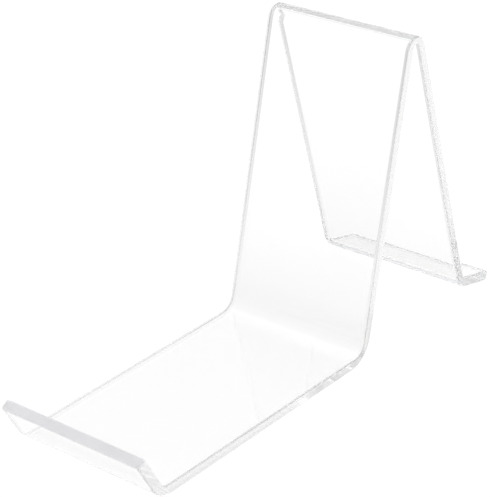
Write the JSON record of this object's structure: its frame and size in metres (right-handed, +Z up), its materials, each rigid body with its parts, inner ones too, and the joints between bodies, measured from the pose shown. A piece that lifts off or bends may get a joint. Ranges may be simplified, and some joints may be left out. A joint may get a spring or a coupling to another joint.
{
  "type": "book display stand",
  "caption": "Clear acrylic book stand: one heat-bent strip with a front lip, flat ledge, leaning backrest, rear leg and short foot.",
  "frame": {"origin": "on the table, under the centre of the stand's bounding box", "axes": "+X is the reader's right, +Y runs from the reader to the back, +Z is up"},
  "size_m": [0.075, 0.2428, 0.1395],
  "materials": {
    "clear_acrylic": "clear colourless acrylic sheet, polished faces, satin sawn edges"
  },
  "bodies": {
    "root": {"bent_acrylic_sheet": "clear_acrylic"}
  },
  "joints": []
}
